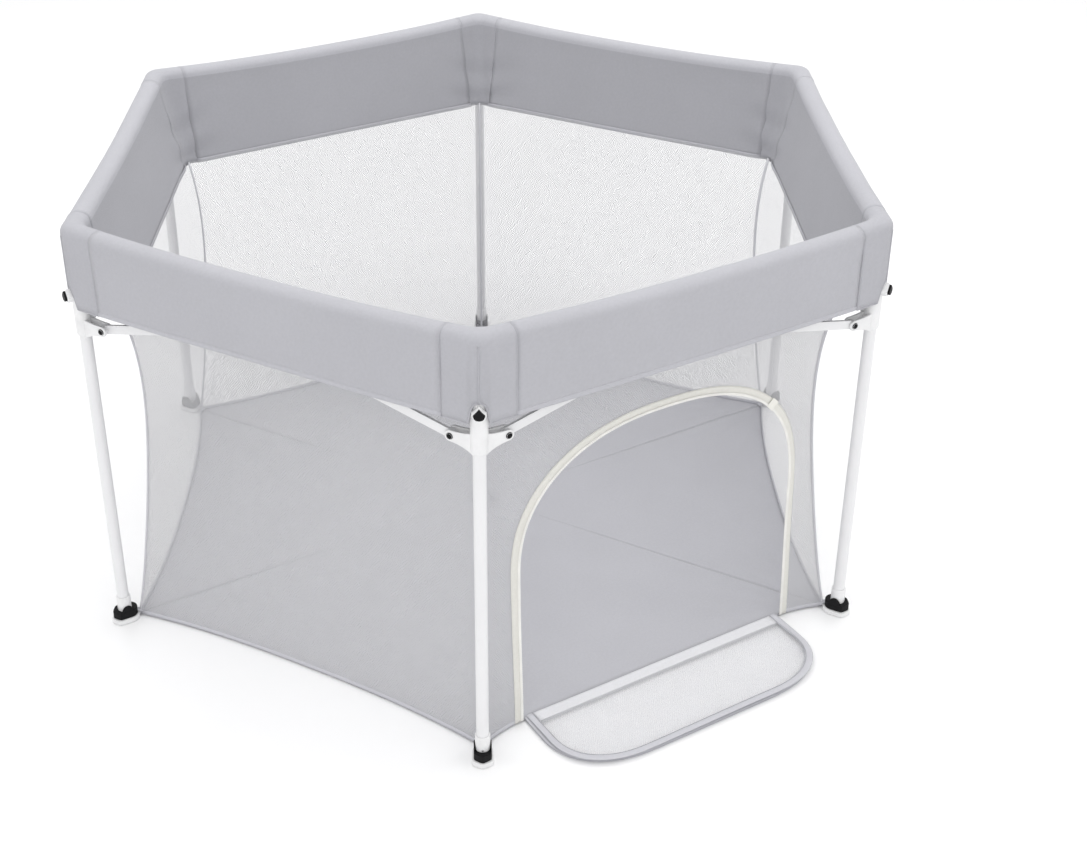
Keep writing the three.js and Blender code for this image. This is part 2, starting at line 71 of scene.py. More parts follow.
LEG_R = float(np.hypot(*middle_of("leg_tube_3")[:2]))  # pen's middle to a leg axis
APOTHEM = LEG_R * COS_HALF
HALF_SIDE = LEG_R * math.sin(STEP / 2)
TUBE_R = float(box_of("leg_tube_3")[1][1])
RIM_TOP = float(box_of("rim_cover")[1][2])
RIM_OUT = float(-box_of("rim_cover")[0][1]) - APOTHEM  # rim's outer face beyond the leg line
FOOT_TOP = float(box_of("foot_3")[1][2])
WALL_Y = float(middle_of("door_panel")[1]) + APOTHEM  # middle of the walls, inside the leg line
ZIP_HIGH = box_of("zipper_track")[1]
PULL_LOW, PULL_HIGH = box_of("zipper_pull")
SLIDER_LOW, SLIDER_HIGH = box_of("slider_3")
BUTTON_LOW, BUTTON_HIGH = box_of("lock_button_3")
MM = 0.001


# ---- small tools ----

def link(obj):
    bpy.context.scene.collection.objects.link(obj)
    return obj


def leg_angle(k):
    """The direction of leg k, 1 to 6, from the pen's middle."""
    return math.radians(240) + (k - 1) * STEP


def side_matrix(k):
    """From side k's own frame, x along the side and y into the pen, to the row frame."""
    return Matrix.Rotation((k - 1) * STEP, 4, "Z") @ Matrix.Translation((0, -APOTHEM, 0))


def leg_matrix(k):
    """From leg k's own frame, x out of the pen, to the row frame."""
    return Matrix.Rotation(leg_angle(k), 4, "Z") @ Matrix.Translation((LEG_R, 0, 0))


def to_row(points, matrix):
    points = np.asarray(points, float)
    m = np.array(matrix)
    return points @ m[:3, :3].T + m[:3, 3]


def mesh_piece(name, points, faces, material, uvs=None, smooth=True):
    """A mesh object from row-frame points. uvs are metres on the cloth, one for each point."""
    mesh = bpy.data.meshes.new(name)
    mesh.from_pydata([tuple(p) for p in points], [], [tuple(f) for f in faces])
    if uvs is not None:
        layer = mesh.uv_layers.new(name="cloth")
        corner = np.zeros(len(mesh.loops), np.int32)
        mesh.loops.foreach_get("vertex_index", corner)
        layer.data.foreach_set("uv", np.asarray(uvs, np.float32)[corner].ravel())
    mesh.polygons.foreach_set("use_smooth", [smooth] * len(mesh.polygons))
    mesh.materials.append(material)
    mesh.update()
    return link(bpy.data.objects.new(name, mesh))


def grid_faces(rows, columns, closed=False):
    """Quads over a grid of rows by columns; closed joins the last column to the first."""
    faces = []
    for i in range(rows - 1):
        for j in range(columns if closed else columns - 1):
            a, b = i * columns + j, i * columns + (j + 1) % columns
            faces.append((a, b, b + columns, a + columns))
    return faces


def sheet_piece(name, grid, uv, matrix, material, thickness):
    """A cloth piece from a grid of points, thickened about its middle; at 0 it stays a single sheet."""
    rows, columns = grid.shape[:2]
    points = to_row(grid.reshape(-1, 3), matrix)
    piece = mesh_piece(name, points, grid_faces(rows, columns), material, uv.reshape(-1, 2))
    if thickness:
        thicken(piece, thickness)
    return piece


def thicken(piece, thickness):
    solid = piece.modifiers.new("thickness", "SOLIDIFY")
    solid.thickness = thickness
    solid.offset = 0


def sweep(name, path, radius, material, sides=8, flat=1.0, up=(0, 0, 1)):
    """A round or flattened cord along a path of row-frame points, with closed ends."""
    path = np.asarray(path, float)
    count = len(path)
    ahead = np.roll(path, -1, 0) - np.roll(path, 1, 0)
    ahead[0], ahead[-1] = path[1] - path[0], path[-1] - path[-2]
    ahead /= np.linalg.norm(ahead, axis=1)[:, None]
    side = np.cross(ahead, np.broadcast_to(np.asarray(up, float), ahead.shape))
    side /= np.linalg.norm(side, axis=1)[:, None]
    lift = np.cross(side, ahead)
    turn = np.arange(sides) * 2 * math.pi / sides
    r = np.broadcast_to(np.asarray(radius, float), (count,))[:, None, None]
    ring = path[:, None] + r * (
        np.cos(turn)[None, :, None] * side[:, None] + flat * np.sin(turn)[None, :, None] * lift[:, None]
    )
    faces = grid_faces(count, sides, closed=True)
    points = ring.reshape(-1, 3)
    faces += [tuple(range(sides))[::-1], tuple((count - 1) * sides + j for j in range(sides))]
    return mesh_piece(name, points, faces, material)


def smoothstep(low, high, x):
    t = np.clip((x - low) / (high - low), 0, 1)
    return t * t * (3 - 2 * t)


def ripple(u, v, seed, scale=1.0):
    """A smooth, repeatable unevenness of about -1 to 1 over cloth coordinates in metres."""
    total = np.zeros(np.broadcast(u, v).shape)
    rng = np.random.default_rng(seed)
    for octave in range(4):
        for _ in range(3):
            angle = rng.uniform(0, math.pi)
            wave = scale * 2**octave * rng.uniform(7, 12)
            phase = rng.uniform(0, 2 * math.pi)
            total += np.sin(wave * (u * math.cos(angle) + v * math.sin(angle)) + phase) / (3 * 1.6**octave)
    return total / 1.6


# ---- materials ----

class Nodes:
    """A short way to wire one material's node tree."""

    def __init__(self, name, color, roughness):
        self.material = bpy.data.materials.new(name)
        self.material.use_nodes = True
        self.tree = self.material.node_tree
        self.shader = next(n for n in self.tree.nodes if n.type == "BSDF_PRINCIPLED")
        self.shader.inputs["Base Color"].default_value = (*color, 1)
        self.shader.inputs["Roughness"].default_value = roughness

    def add(self, kind, **settings):
        node = self.tree.nodes.new("ShaderNode" + kind)
        for key, value in settings.items():
            if hasattr(node, key):
                setattr(node, key, value)
            else:
                node.inputs[key.replace("_", " ")].default_value = value
        return node

    def link(self, out, into):
        self.tree.links.new(out, into)

    def math(self, operation, a, b):
        node = self.add("Math", operation=operation)
        for socket, value in zip(node.inputs, (a, b)):
            if isinstance(value, (int, float)):
                socket.default_value = value
            else:
                self.link(value, socket)
        return node.outputs[0]

    def coordinates(self, kind, rotation=0.0, scale=(1, 1, 1)):
        source = self.add("TexCoord").outputs[kind]
        turned = self.add("Mapping")
        turned.inputs["Rotation"].default_value = (0, 0, rotation)
        turned.inputs["Scale"].default_value = scale
        self.link(source, turned.inputs["Vector"])
        return turned.outputs["Vector"]

    def bands(self, vector, pitch, direction="X", shift=None):
        """A wave of parallel threads, 0 to 1, one each pitch metres, moved along by a shift in radians."""
        wave = self.add("TexWave", bands_direction=direction, wave_profile="SIN")
        wave.inputs["Scale"].default_value = math.pi / 10 / pitch
        self.link(vector, wave.inputs["Vector"])
        if shift is not None:
            self.link(shift, wave.inputs["Phase Offset"])
        return wave.outputs["Fac"]

    def noise(self, vector, size, detail=3.0):
        node = self.add("TexNoise")
        node.inputs["Scale"].default_value = 1 / size
        node.inputs["Detail"].default_value = detail
        self.link(vector, node.inputs["Vector"])
        return node.outputs["Fac"]

    def ramp(self, value, stops):
        node = self.add("ValToRGB")
        elements = node.color_ramp.elements
        for element, (place, color) in zip(elements, stops):
            element.position = place
            element.color = (*color, 1)
        self.link(value, node.inputs["Fac"])
        return node.outputs["Color"]

    def color(self, value, low, high):
        self.link(self.ramp(value, [(0.3, low), (0.7, high)]), self.shader.inputs["Base Color"])

    def bump(self, height, distance, strength=1.0):
        node = self.add("Bump")
        node.inputs["Strength"].default_value = strength
        node.inputs["Distance"].default_value = distance
        self.link(height, node.inputs["Height"])
        self.link(node.outputs["Normal"], self.shader.inputs["Normal"])


def shade(color, factor):
    return tuple(min(1.0, c * factor) for c in color)


def woven(name, color, pitch, slub=0.04, roughness=0.85, sheen=0.15):
    """Plain-weave cloth: two sets of threads, uneven yarn colour and soft rumples."""
    n = Nodes(name, color, roughness)
    cloth = n.coordinates("UV")
    body = n.coordinates("Object")
    weave = n.math("MAXIMUM", n.bands(cloth, pitch), n.bands(cloth, pitch, "Y"))
    yarn = n.math("MULTIPLY", n.noise(body, 0.004), 0.6)
    n.color(n.math("ADD", yarn, n.math("MULTIPLY", n.noise(body, 0.12), 0.4)),
            shade(color, 1 - slub), shade(color, 1 + slub))
    rumple = n.math("MULTIPLY", n.noise(body, 0.035), 2.0)
    n.bump(n.math("ADD", weave, rumple), 0.00035, 0.6)
    n.shader.inputs["Sheen Weight"].default_value = sheen
    n.shader.inputs["Sheen Roughness"].default_value = 0.5
    n.shader.inputs["Specular IOR Level"].default_value = 0.25
    return n.material


# radians of thread shift over the noise's range, so that one net seen through another makes no moire
NET_DRIFT = 22.0


def netting(name, color, pitch, share):
    """Knitted net: two sets of slanted threads, each over a share of the cloth, and open holes."""
    n = Nodes(name, color, 0.7)
    lean = math.radians(35)
    drift = n.math("MULTIPLY", n.noise(n.coordinates("Object"), 0.012), NET_DRIFT)
    one = n.bands(n.coordinates("UV", lean), pitch, shift=drift)
    other = n.bands(n.coordinates("UV", -lean), pitch, shift=drift)
    thread = n.math("MAXIMUM", one, other)
    level = (1 + math.cos(math.pi * share)) / 2
    edge = n.add("MapRange", interpolation_type="SMOOTHSTEP")
    edge.inputs["From Min"].default_value = level - 0.5 * (1 - level)
    edge.inputs["From Max"].default_value = level + 0.5 * (1 - level)
    n.link(thread, edge.inputs["Value"])
    n.link(edge.outputs["Result"], n.shader.inputs["Alpha"])
    n.color(n.noise(n.coordinates("Object"), 0.02), shade(color, 0.97), shade(color, 1.02))
    n.bump(thread, 0.0003, 0.5)
    n.shader.inputs["Specular IOR Level"].default_value = 0.3
    return n.material


def coated_metal(name, color):
    """Powder coat: satin, with a fine orange peel."""
    n = Nodes(name, color, 0.32)
    body = n.coordinates("Object")
    n.color(n.noise(body, 0.06), shade(color, 0.985), shade(color, 1.01))
    n.bump(n.noise(body, 0.0016, 2.0), 0.00008, 0.5)
    n.shader.inputs["Coat Weight"].default_value = 0.15
    n.shader.inputs["Coat Roughness"].default_value = 0.25
    return n.material


def moulded(name, color, roughness, grain=0.0007, specular=0.5):
    """Moulded plastic with a spark-eroded grain and a little unevenness in its gloss."""
    n = Nodes(name, color, roughness)
    body = n.coordinates("Object")
    n.color(n.noise(body, 0.02), shade(color, 0.95), shade(color, 1.05))
    gloss = n.add("MapRange")
    gloss.inputs["To Min"].default_value = roughness - 0.06
    gloss.inputs["To Max"].default_value = roughness + 0.06
    n.link(n.noise(body, 0.01), gloss.inputs["Value"])
    n.link(gloss.outputs["Result"], n.shader.inputs["Roughness"])
    n.bump(n.noise(body, grain, 2.0), 0.00006, 0.5)
    n.shader.inputs["Specular IOR Level"].default_value = specular
    return n.material


RIM_OUTSIDE = woven("rim_cloth", (0.475, 0.475, 0.508), 0.0007)
# the rim's outer cloth in a darker grey, giving the inner layer its darker tone
RIM_INSIDE = woven("rim_inner_darker_cloth", (0.40, 0.40, 0.428), 0.0007)
RIM_PATCH = woven("rim_patch_cloth", (0.46, 0.46, 0.493), 0.0007)
FLOOR_CLOTH = woven("floor_cloth", (0.47, 0.47, 0.502), 0.0008, roughness=0.7)
BINDING = woven("binding_tape", (0.54, 0.54, 0.575), 0.0009)
SEAM_TAPE = woven("seam_tape", (0.60, 0.60, 0.63), 0.0008)
THREAD = woven("thread", (0.40, 0.40, 0.43), 0.0003, roughness=0.6)
NET = netting("wall_net", (0.55, 0.55, 0.565), 0.0026, 0.28)
FLAP_NET = netting("flap_net", (0.80, 0.80, 0.82), 0.0028, 0.11)
STRIP_CLOTH = woven("flap_strip_cloth", (0.72, 0.72, 0.745), 0.0008)
ZIP_CLOTH = woven("zip_tape_cloth", (0.80, 0.79, 0.74), 0.0006, roughness=0.65)
ZIP_COIL = moulded("zip_coil", (0.86, 0.85, 0.82), 0.4)
POWDER_COAT = coated_metal("powder_coat", (0.77, 0.77, 0.78))
WHITE_PLASTIC = moulded("white_plastic", (0.78, 0.78, 0.785), 0.38)
BLACK_PLASTIC = moulded("black_plastic", (0.007, 0.007, 0.008), 0.5, specular=0.12)
STEEL = moulded("screw_steel", (0.45, 0.45, 0.46), 0.3)
STEEL.node_tree.nodes["Principled BSDF"].inputs["Metallic"].default_value = 0.9


# ---- camera, light and floor ----

def look_at(obj, target):
    obj.rotation_euler = (Vector(target) - obj.location).to_track_quat("-Z", "Y").to_euler()


def add_camera():
    """Looks past the front leg, from a little above the rim."""
    data = bpy.data.cameras.new("camera")
    camera = link(bpy.data.objects.new("camera", data))
    heading, height, distance = math.radians(-31.0), math.radians(28.4), 2.63
    right = Vector((math.cos(heading), math.sin(heading), 0))
    back = Vector((math.sin(heading), -math.cos(heading), 0))
    target = 0.05 * right + Vector((0, 0, 0.309))
    camera.location = target + distance * (back * math.cos(height) + Vector((0, 0, math.sin(height))))
    look_at(camera, target)
    data.sensor_width = 36
    data.lens = 52.9
    data.shift_x = 0.03
    data.shift_y = -0.08
    bpy.context.scene.camera = camera


def add_light(name, place, size, power):
    data = bpy.data.lights.new(name, "AREA")
    data.shape = "RECTANGLE"
    data.size, data.size_y = size
    data.energy = power
    lamp = link(bpy.data.objects.new(name, data))
    lamp.location = place
    look_at(lamp, (0, 0, 0.3))


def add_stage():
    bpy.ops.mesh.primitive_plane_add(size=60, location=(0, 0, -0.0005))
    ground = bpy.context.object
    ground.name = "studio_floor"
    n = Nodes("studio_floor", (0.93, 0.93, 0.935), 0.6)
    n.color(n.noise(n.coordinates("Object"), 0.8), (0.925, 0.925, 0.93), (0.935, 0.935, 0.94))
    ground.data.materials.append(n.material)
    world = bpy.data.worlds.new("studio")
    world.use_nodes = True
    backdrop = next(x for x in world.node_tree.nodes if x.type == "BACKGROUND")
    backdrop.inputs["Color"].default_value = (1, 1, 1, 1)
    backdrop.inputs["Strength"].default_value = 0.93
    bpy.context.scene.world = world
    bpy.context.scene.view_settings.view_transform = "Standard"
    add_light("overhead", (0.3, 0.4, 3.2), (3.5, 3.5), 50)
    add_light("front_fill", (-2.6, -3.4, 2.2), (2.5, 2.0), 24)
    add_light("side_fill", (3.4, -1.8, 2.4), (2.0, 2.0), 12)


add_camera()
add_stage()


# ---- more tools: turned and cut pieces ----

def lathe(name, profile, matrix, material, segments=40):
    """A turned piece about z from (radius, z) points that start and end on the axis or at one bore."""
    turn = np.arange(segments) * 2 * math.pi / segments
    r, z = np.asarray(profile, float).T
    x, y = np.outer(r, np.cos(turn)), np.outer(r, np.sin(turn))
    ring = np.stack([x, y, np.outer(z, np.ones(segments))], -1)
    faces = grid_faces(len(profile), segments, closed=True)
    if r[0] > 0 and tuple(profile[0]) == tuple(profile[-1]):
        last = (len(profile) - 2) * segments
        faces = grid_faces(len(profile) - 1, segments, closed=True)
        faces += [(last + j, last + (j + 1) % segments, (j + 1) % segments, j) for j in range(segments)]
        ring = ring[:-1]
    else:
        faces += [tuple(range(segments))[::-1]]
        faces += [tuple((len(profile) - 1) * segments + j for j in range(segments))]
    piece = mesh_piece(name, to_row(ring.reshape(-1, 3), matrix), faces, material)
    soften(piece, 0.4 * MM)
    return piece


def prism(name, outline, axis, low, high, matrix, material, bevel=0.6 * MM):
    """A flat outline raised along one axis, 0 to 2, with softened edges."""
    outline = np.asarray(outline, float)
    count = len(outline)
    points = np.empty((2, count, 3))
    others = [i for i in range(3) if i != axis]
    points[:, :, others[0]], points[:, :, others[1]] = outline[:, 0], outline[:, 1]
    points[0, :, axis], points[1, :, axis] = low, high
    faces = [tuple(range(count))[::-1], tuple(range(count, 2 * count))]
    faces += [(j, (j + 1) % count, count + (j + 1) % count, count + j) for j in range(count)]
    piece = mesh_piece(name, to_row(points.reshape(-1, 3), matrix), faces, material)
    face_out(piece)
    soften(piece, bevel)
    return piece


def face_out(piece):
    mesh = bmesh.new()
    mesh.from_mesh(piece.data)
    bmesh.ops.recalc_face_normals(mesh, faces=mesh.faces)
    mesh.to_mesh(piece.data)
    mesh.free()


def soften(piece, width, segments=2):
    bevel = piece.modifiers.new("edges", "BEVEL")
    bevel.width = width
    bevel.segments = segments
    bevel.limit_method = "ANGLE"
    bevel.angle_limit = math.radians(32)
    bevel.harden_normals = True


def cut_out(piece, cutter):
    """Takes the cutter's shape out of a piece, and drops the cutter."""
    face_out(piece)
    piece.modifiers.clear()
    cutter.modifiers.clear()
    hole = piece.modifiers.new("hole", "BOOLEAN")
    hole.operation, hole.solver, hole.object = "DIFFERENCE", "EXACT", cutter
    bpy.context.view_layer.update()
    shape = piece.evaluated_get(bpy.context.evaluated_depsgraph_get())
    piece.data = bpy.data.meshes.new_from_object(shape)
    piece.modifiers.clear()
    bpy.data.objects.remove(cutter)
    soften(piece, 0.4 * MM)


def arc(middle, radius, start, end, steps):
    turn = np.radians(np.linspace(start, end, steps + 1))
    return [(middle[0] + radius * math.cos(t), middle[1] + radius * math.sin(t)) for t in turn]


def bezier(start, pull, end, steps):
    t = np.linspace(0, 1, steps + 1)[:, None]
    start, pull, end = (np.asarray(p, float) for p in (start, pull, end))
    return [tuple(p) for p in (1 - t) ** 2 * start + 2 * t * (1 - t) * pull + t * t * end]


# ---- attaching pieces to their bodies, each with its own mesh ----

RIM_FOLD = (45 * MM, 0.018)  # where a side starts from its leg, and how much of its length is left


def gather(piece):
    """Gives a piece its own copy of its mesh."""
    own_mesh(piece)


def dress(piece, body, nodes=(), side=None):
    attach(piece, body)
    if nodes:
        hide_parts(*nodes)
    if side:
        gather(piece)
    return piece


# ---- rim cover ----

RIM_CLOTH = 1.6 * MM
RIM_Y = RIM_OUT - RIM_CLOTH / 2  # middle of the outer layer, outside the leg line
OUTER_HEM = RIM_TOP - 123 * MM
INNER_HEM = float(box_of("rim_cover")[0][2]) + RIM_CLOTH
CROWN = 14 * MM  # height of the rounded top
RIM_SAG = 9 * MM
PATCH = RIM_FOLD[0]  # corner patch, from the leg along each side
NOTCH = (13 * MM, 30 * MM)  # half-width and height of the notch over each slider
CORNER_ROUND = 14 * MM
OUTER_ROWS, CROWN_ROWS, INNER_ROWS = 11, 12, 16
CROWN_END = OUTER_ROWS + CROWN_ROWS - 1  # first row of the inner layer


def rim_section(hem):
    """The cover's section from the outer hem over the top to the inner hem, as rows of y and z."""
    low = RIM_TOP - RIM_CLOTH / 2 - CROWN
    t = np.linspace(0, 1, OUTER_ROWS)[:, None]
    outer_z = hem + (low - hem) * t
    outer_y = np.full(outer_z.shape, -RIM_Y)
    turn = np.radians(np.linspace(180, 0, CROWN_ROWS + 1))[1:, None] * np.ones(hem.shape)
    crown_y = RIM_Y * np.cos(turn)
    crown_z = low + CROWN * np.sin(turn) ** 0.8
    t = np.linspace(0, 1, INNER_ROWS + 1)[1:, None] * np.ones(hem.shape)
    inner_z = low + (INNER_HEM - low) * t
    inner_y = RIM_Y + (WALL_Y - RIM_CLOTH - RIM_Y) * t**1.15
    return np.vstack([outer_y, crown_y, inner_y]), np.vstack([outer_z, crown_z, inner_z])


def rim_rumple(y, z, d, seed):
    """The sag and slight rumples of the cover at a distance d from the nearer leg."""
    along = 1 - np.clip(d / HALF_SIDE, 0, 1)
    sag = RIM_SAG * (1 - along**2.2)
    held = smoothstep(INNER_HEM, RIM_TOP, z)
    z = z - sag * np.where(y < 0, 0.25 + 0.75 * smoothstep(OUTER_HEM, RIM_TOP, z), 0.15 + 0.85 * held)
    free = smoothstep(0, 0.05, d)
    bulge = 1.1 * MM * ripple(d * 0.8, z * 1.4, seed, 1.2) * (0.35 + 0.65 * free)
    crease = np.exp(-(((d - PATCH) / 0.035) ** 2)) * smoothstep(RIM_TOP, INNER_HEM, z) * (y > 0)
    pull = 2.6 * MM * crease * np.sin((z - 0.3 * d) * 120)
    return y + bulge + pull, z


def give_inner_layer_darker_cloth(piece, shape):
    """Gives the inner layer, the last rows of the section, a darker copy of the rim cloth."""
    piece.data.materials.append(RIM_INSIDE)
    rows = np.arange(len(piece.data.polygons)) // (shape[1] - 1)
    piece.data.polygons.foreach_set("material_index", (rows >= CROWN_END).astype(np.int32))


def rim_side(k):
    x = np.linspace(-HALF_SIDE + PATCH, HALF_SIDE - PATCH, 60)
    y, z = rim_section(np.full(x.shape, OUTER_HEM))
    x = np.broadcast_to(x, y.shape)
    d = HALF_SIDE - np.abs(x)
    y, z = rim_rumple(y, z, d, 10 + k)
    grid = np.stack([x, y, z], -1)
    girth = np.cumsum(np.linalg.norm(np.diff(grid[:, 30], axis=0, prepend=grid[:1, 30]), axis=1))
    uv = np.stack([x, np.broadcast_to(girth[:, None], x.shape)], -1)
    piece = sheet_piece(f"rim_side_{k}", grid, uv, side_matrix(k), RIM_OUTSIDE, RIM_CLOTH)
    give_inner_layer_darker_cloth(piece, grid.shape)
    dress(piece, f"leg_{k}", ["rim_cover"])
    gather(piece)
    rim_hems(k, grid)


def rim_hems(k, grid):
    """The turned hems along the bottom of the outer and inner layers of one side."""
    for name, row, way in (("outer", 0, -1), ("inner", -1, 1)):
        path = grid[row] + np.array([0, way * 0.5 * MM, 3.2 * MM])
        hem = sweep(f"rim_{name}_hem_{k}", to_row(path, side_matrix(k)), 0.9 * MM, RIM_PATCH, 8, flat=4.2)
        dress(hem, f"leg_{k}", side=k)


def corner_lateral(y):
    """Half the width of the corner patch across the leg's own frame, at each depth y."""
    return math.cos(STEP / 2) * PATCH - math.sin(STEP / 2) * y


def rim_corner(k):
    w = np.linspace(-1, 1, 33)
    across = np.abs(w) * corner_lateral(-RIM_Y)
    notch = NOTCH[1] * np.clip(1 - (across / NOTCH[0]) ** 2.6, 0, 1) ** 0.55
    y, z = rim_section(OUTER_HEM + notch)
    w = np.broadcast_to(w, y.shape)
    lateral = w * corner_lateral(y)
    d = (np.abs(lateral) + math.sin(STEP / 2) * y) / math.cos(STEP / 2)
    left, right = rim_rumple(y, z, d, 10 + (k - 2) % SIDES + 1), rim_rumple(y, z, d, 10 + k)
    y, z = (np.where(w < 0, a, b) for a, b in zip(left, right))
    blend = 1 - smoothstep(0.4, 1, np.abs(w))
    even = (left[0] + right[0]) / 2
    y = y + blend * (even - y)
    near = np.abs(lateral)
    rounded = np.where(near < CORNER_ROUND, (near**2 / CORNER_ROUND + CORNER_ROUND) / 2, near)
    grid = np.stack([-y / COS_HALF - TAN_HALF * rounded, -lateral, z], -1)
    girth = np.cumsum(np.linalg.norm(np.diff(grid[:, 0], axis=0, prepend=grid[:1, 0]), axis=1))
    uv = np.stack([lateral, np.broadcast_to(girth[:, None], lateral.shape)], -1)
    piece = sheet_piece(f"rim_corner_{k}", grid[:, ::-1], uv[:, ::-1], leg_matrix(k), RIM_PATCH, RIM_CLOTH)
    give_inner_layer_darker_cloth(piece, grid.shape)
    dress(piece, f"leg_{k}", ["rim_cover"])
    rim_seams(k, grid)


def rim_seams(k, grid):
    """The seams at both edges of a corner patch, the seam down its middle and its hem."""
    middle = grid.shape[1] // 2
    raised = RIM_CLOTH / 2 + 0.15 * MM
    paths = {
        "left_seam": grid[:, 0],
        "right_seam": grid[:, -1],
        "corner_seam": grid[:OUTER_ROWS, middle] + np.array([raised, 0, 0]),
        "notch_hem": grid[0],
    }
    for name, path in paths.items():
        size = 1.3 * MM if name == "notch_hem" else 1.15 * MM
        seam = sweep(f"rim_{name}_{k}", to_row(path, leg_matrix(k)), size, THREAD, 8, up=(0.1, 0.2, 1))
        dress(seam, f"leg_{k}")


for k in range(1, SIDES + 1):
    rim_side(k)
    rim_corner(k)


# ---- mesh walls ----

SEAM_HEIGHTS = np.array([0, 100, 250, 400, 508]) * MM
SEAM_INSETS = np.array([22, 42, 63, 72, 57]) * MM
SEAM_CURVE = np.polyfit(SEAM_HEIGHTS, SEAM_INSETS, 4)
WALL_FOOT = 2.6 * MM
WALL_HEAD = INNER_HEM + 4 * MM  # the net runs up behind the rim's inner hem
PLAIN_BOW, DOOR_BOW = 2.4, 7.0  # how sharply a wall turns in to its corner seams


def seam_inset(z):
    """How far each corner seam bows in from its leg's axis, towards the pen's middle."""
    return np.polyval(SEAM_CURVE, z)


def wall_end(z):
    """x of a wall's right-hand corner seam."""
    return HALF_SIDE - math.sin(STEP / 2) * seam_inset(z)


def wall_y(x, z, door):
    middle = WALL_Y - (1.2 * MM if door else 0) - 5 * MM * (1 - smoothstep(0, 0.2, z))
    corner = COS_HALF * seam_inset(z)
    bow = DOOR_BOW if door else PLAIN_BOW
    return middle + (corner - middle) * np.clip(np.abs(x) / wall_end(z), 0, 1) ** bow


def wall_points(x, z, seed, door=False):
    """A wall's surface, with the slight unevenness of a hung net."""
    y = wall_y(x, z, door)
    free = np.clip(1 - np.abs(x) / wall_end(z), 0, 1) ** 0.5 * np.clip(z / 0.05, 0, 1)
    y = y + (0.5 if door else 2.2) * MM * free * ripple(x, z, seed, 0.7)
    return np.stack([x, y, z], -1)


def mesh_wall(k):
    z = np.linspace(WALL_FOOT, WALL_HEAD, 34)[:, None]
    x = np.linspace(-1, 1, 49)[None] * wall_end(z)
    z = np.broadcast_to(z, x.shape)
    grid = wall_points(x, z, 30 + k)
    piece = sheet_piece(f"mesh_wall_{k}", grid, grid[..., [0, 2]], side_matrix(k), NET, 0)
    dress(piece, f"leg_{k}", [f"mesh_panel_{k}"])
    gather(piece)


def bottom_binding(k, from_x, to_x, name):
    """The tape that joins a wall's foot to the floor."""
    x = np.linspace(from_x, to_x, 40)
    z = np.full(x.shape, 4.6 * MM)
    path = np.stack([x, wall_y(x, z, k == 1), z], -1)
    tape = sweep(name, to_row(path, side_matrix(k)), 1.0 * MM, BINDING, 8, flat=4.3)
    dress(tape, f"leg_{k}", side=k)


def corner_tape(k):
    """The bound seam where two walls meet behind leg k."""
    z = np.linspace(WALL_FOOT, WALL_HEAD, 36)
    path = np.stack([-seam_inset(z), 0 * z, z], -1)
    tape = sweep(f"wall_corner_seam_{k}", to_row(path, leg_matrix(k)), 1.7 * MM, SEAM_TAPE, 8,
                 flat=2.6, up=(0.3, 0.9, 0.05))
    dress(tape, f"leg_{k}")


def corner_strap(k):
    """The short webbing loop that holds the floor's corner to the foot."""
    inner = float(seam_inset(0.0))
    start, pull, end = (-inner - 8 * MM, 4 * MM), (-inner + 4 * MM, 14 * MM), (-TUBE_R + 1 * MM, 16 * MM)
    points = np.array([(x, 0, z) for x, z in bezier(start, pull, end, 10)])
    strap = sweep(f"corner_strap_{k}", to_row(points, leg_matrix(k)), 6 * MM, BINDING, 10, flat=0.14,
                  up=(0, 0, 1))
    dress(strap, f"leg_{k}")


# ---- door panel and zip ----

DOOR_HALF = float(ZIP_HIGH[0]) - 13 * MM  # zip's inner edge
ZIP_WIDTH = 13 * MM
DOOR_TOP = float(ZIP_HIGH[2]) - ZIP_WIDTH
DOOR_SPRING = DOOR_TOP - 203 * MM
FULLNESS = 2.4


def arch(grow, count, foot=WALL_FOOT):
    """The door's edge from its left foot over the top to its right foot, as x and z."""
    rise = DOOR_TOP - DOOR_SPRING + grow
    straight = np.linspace(foot, DOOR_SPRING, count // 4, endpoint=False)
    turn = np.linspace(0, math.pi, count - 2 * (count // 4))
    x = -(DOOR_HALF + grow) * np.sign(np.cos(turn)) * np.abs(np.cos(turn)) ** (2 / FULLNESS)
    z = DOOR_SPRING + rise * np.sin(turn).clip(0) ** (2 / FULLNESS)
    sides = np.full(straight.shape, DOOR_HALF + grow)
    return np.concatenate([-sides, x, sides]), np.concatenate([straight, z, straight[::-1]])


def door_outline(count):
    """The wall's own edge, matched point for point to the arch."""
    side = int(count * 0.36)
    top = count - 2 * side
    z_side = np.linspace(WALL_FOOT, WALL_HEAD, side)
    x_top = np.linspace(-1, 1, top + 2)[1:-1] * wall_end(WALL_HEAD)
    x = np.concatenate([-wall_end(z_side), x_top, wall_end(z_side)[::-1]])
    z = np.concatenate([z_side, np.full(top, WALL_HEAD), z_side[::-1]])
    return x, z


def door_wall():
    count = 120
    inner_x, inner_z = arch(ZIP_WIDTH / 2, count)
    outer_x, outer_z = door_outline(count)
    t = np.linspace(0, 1, 14)[:, None]
    x = inner_x + (outer_x - inner_x) * t
    z = inner_z + (outer_z - inner_z) * t
    grid = wall_points(x, z, 31, door=True)
    piece = sheet_piece("door_wall", grid, grid[..., [0, 2]], side_matrix(1), NET, 0)
    dress(piece, "leg_1", ["door_panel"])
    gather(piece)


def zip_lift(x, z):
    """y of the zip tape, on the outside of the net."""
    return wall_y(x, z, True) - 1.6 * MM


